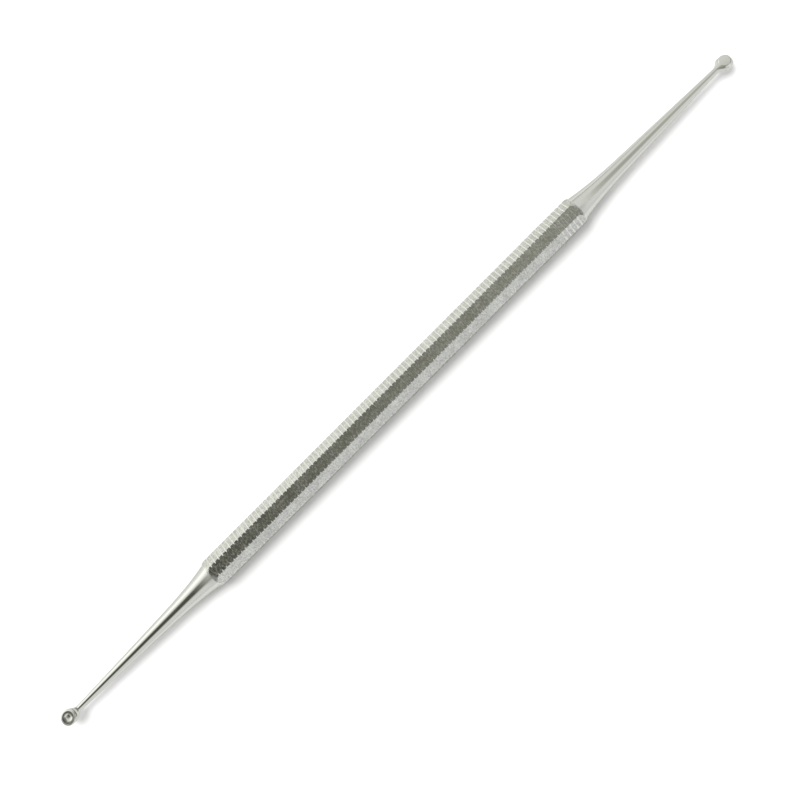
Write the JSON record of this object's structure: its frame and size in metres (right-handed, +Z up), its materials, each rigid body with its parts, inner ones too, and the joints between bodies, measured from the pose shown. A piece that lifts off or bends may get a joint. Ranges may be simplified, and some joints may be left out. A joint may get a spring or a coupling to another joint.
{
  "type": "nail curette",
  "caption": "Double-ended nail curette: slim octagonal steel handle with turned grip grooves, and a tapering shank at each end that carries a small cup.",
  "frame": {"origin": "bottom centre of the bounding box, on the surface that the handle lies on", "axes": "+X along the tool towards the end whose cup faces down, +Z up, out of the handle's upper flat and the other end's cup"},
  "size_m": [0.1434, 0.0046, 0.0047],
  "materials": {
    "handle_steel": "turned and lightly polished stainless steel, fine circular tool marks",
    "polished_steel": "bright polished stainless steel"
  },
  "bodies": {
    "root": {"handle": "handle_steel", "working_end_left": "polished_steel", "working_end_right": "polished_steel"}
  },
  "joints": []
}
